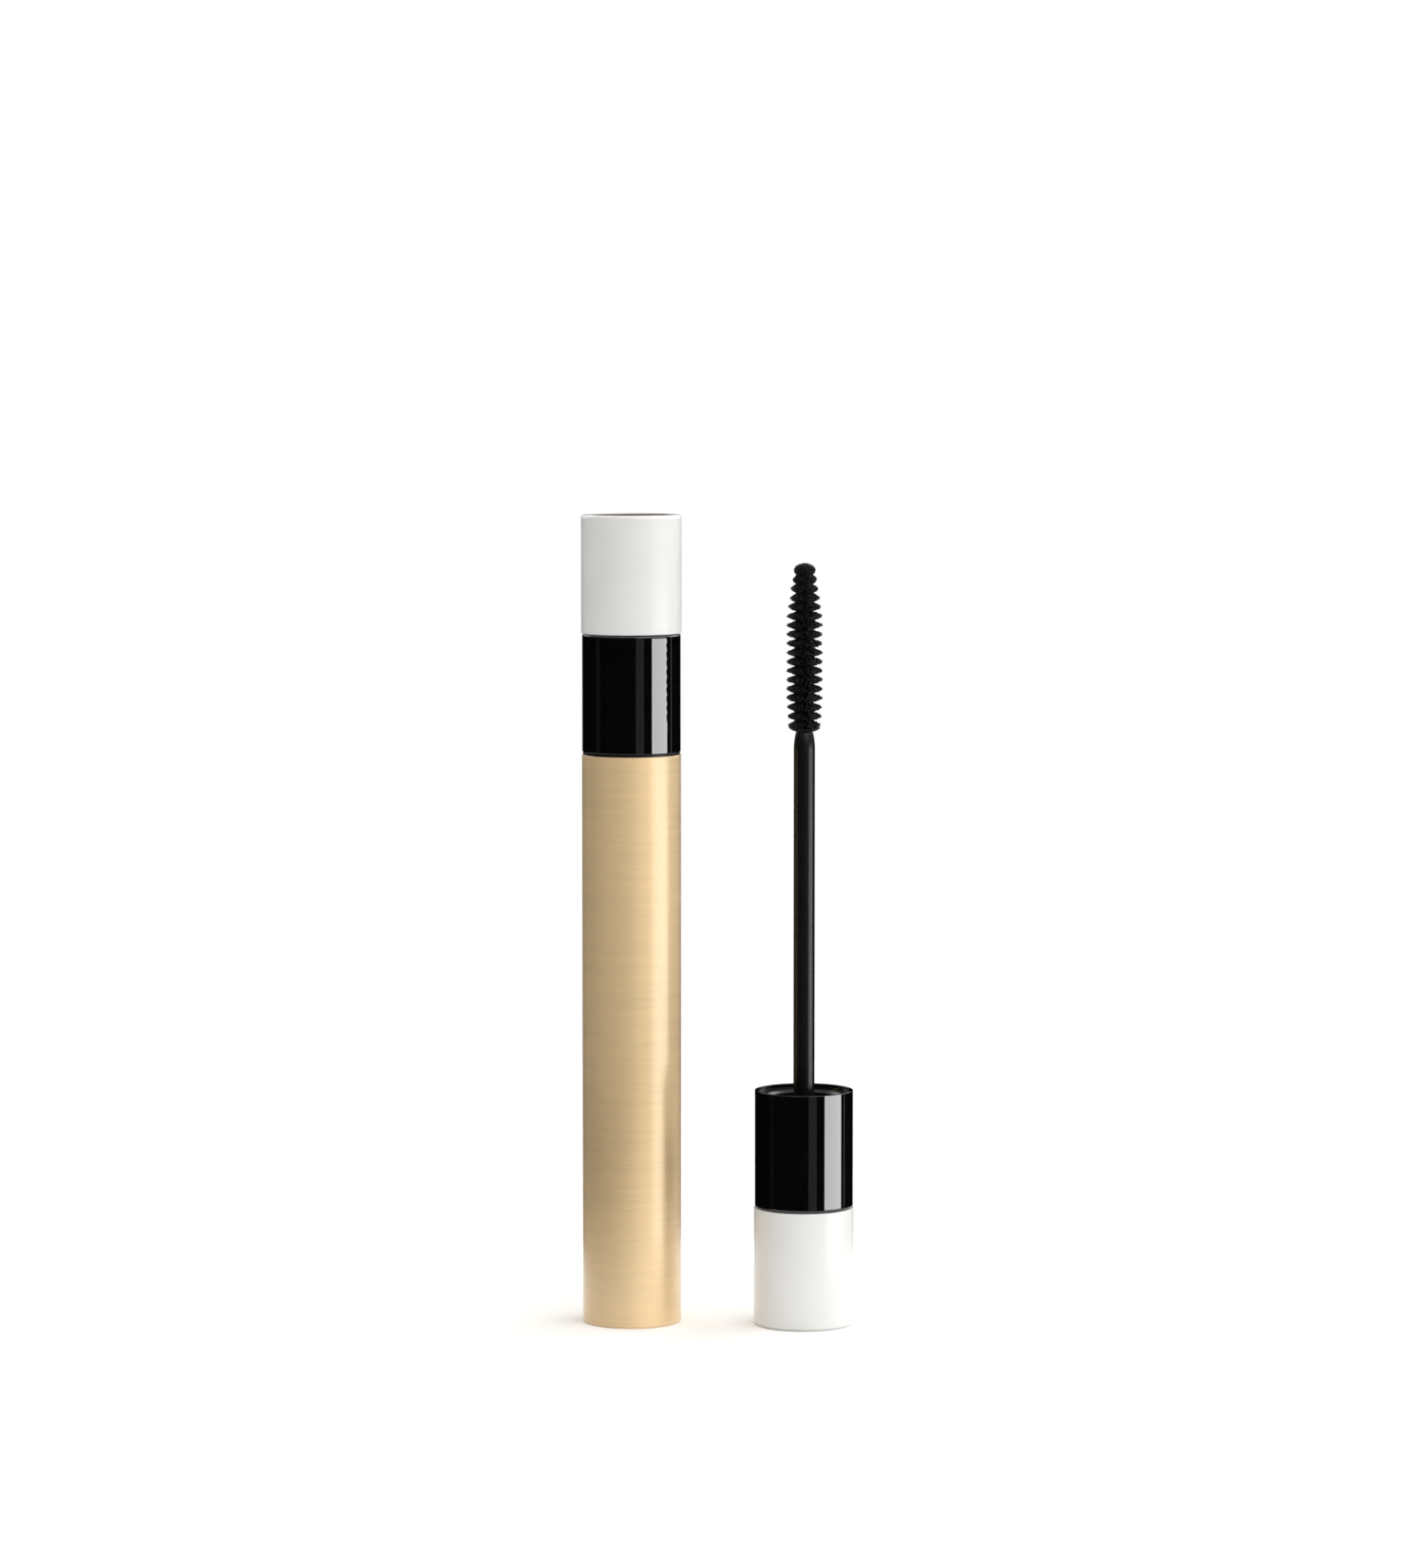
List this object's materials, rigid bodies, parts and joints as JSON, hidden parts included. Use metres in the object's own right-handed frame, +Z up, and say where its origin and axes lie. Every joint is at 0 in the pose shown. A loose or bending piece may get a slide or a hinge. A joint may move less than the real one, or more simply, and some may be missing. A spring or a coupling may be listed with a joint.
{
  "type": "mascara tube",
  "caption": "Slim round mascara tube closed by a screw cap that carries a wand brush, with its applicator also shown standing on its cap.",
  "frame": {"origin": "centre of the closed tube's base", "axes": "+Z up along the tube's axis, +X towards the applicator that stands beside it"},
  "size_m": [0.0441, 0.0187, 0.1312],
  "materials": {
    "sleeve_gold": "champagne gold anodised, fine brushing round the tube",
    "base_black": "moulded, satin",
    "cap_white": "smooth white lacquer, satin gloss",
    "badge_metal": "rose brown anodised, turned face",
    "collar_black": "deep black gloss lacquer",
    "black_moulding": "moulded, satin",
    "natural_moulding": "unpigmented moulding",
    "wiper_moulding": "soft moulding",
    "weight_steel": "turned steel",
    "seal_foam": "fine foam",
    "brush_wire_steel": "drawn wire, product stained",
    "bristle_nylon": "fine black fibres"
  },
  "bodies": {
    "tube": {"outer_sleeve": "sleeve_gold", "base_plug": "base_black", "vial": "natural_moulding", "shoulder_ring": "black_moulding", "wiper": "wiper_moulding"},
    "washer": {"sealing_washer": "seal_foam"},
    "weight": {"cap_weight": "weight_steel"},
    "applicator": {"cap_shell": "cap_white", "cap_badge": "badge_metal", "cap_core": "natural_moulding", "collar": "collar_black", "inner_cap": "black_moulding", "stem": "black_moulding", "brush_wire": "brush_wire_steel", "bristles": "bristle_nylon"},
    "standing_applicator": {"standing_cap_shell": "cap_white", "standing_cap_badge": "badge_metal", "standing_cap_core": "natural_moulding", "standing_cap_weight": "weight_steel", "standing_collar": "collar_black", "standing_inner_cap": "black_moulding", "standing_sealing_washer": "seal_foam", "standing_stem": "black_moulding", "standing_brush_wire": "brush_wire_steel", "standing_bristles": "bristle_nylon"}
  },
  "joints": [
    {"name": "applicator_withdraw", "type": "slide", "parent": "tube", "child": "washer", "axis": [0, 0, 1], "range_m": [0, 0.1], "deforming": ["wiper", "bristles"]},
    {"name": "cap_rise", "type": "slide", "parent": "washer", "child": "weight", "axis": [0, 0, 1], "range_m": [0, 0.0045]},
    {"name": "cap_turn", "type": "hinge", "parent": "weight", "child": "applicator", "pos_m": [0, 0, 0.1], "axis": [0, 0, 1], "range_deg": [0, 540]},
    {"name": "standing_lift", "type": "slide", "parent": "tube", "child": "standing_applicator", "axis": [0, 0, 1], "range_m": [0, 0.05]}
  ],
  "couplings": [
    {"joint": "cap_rise", "follows": "cap_turn", "m_per_rad": 0.000477}
  ]
}
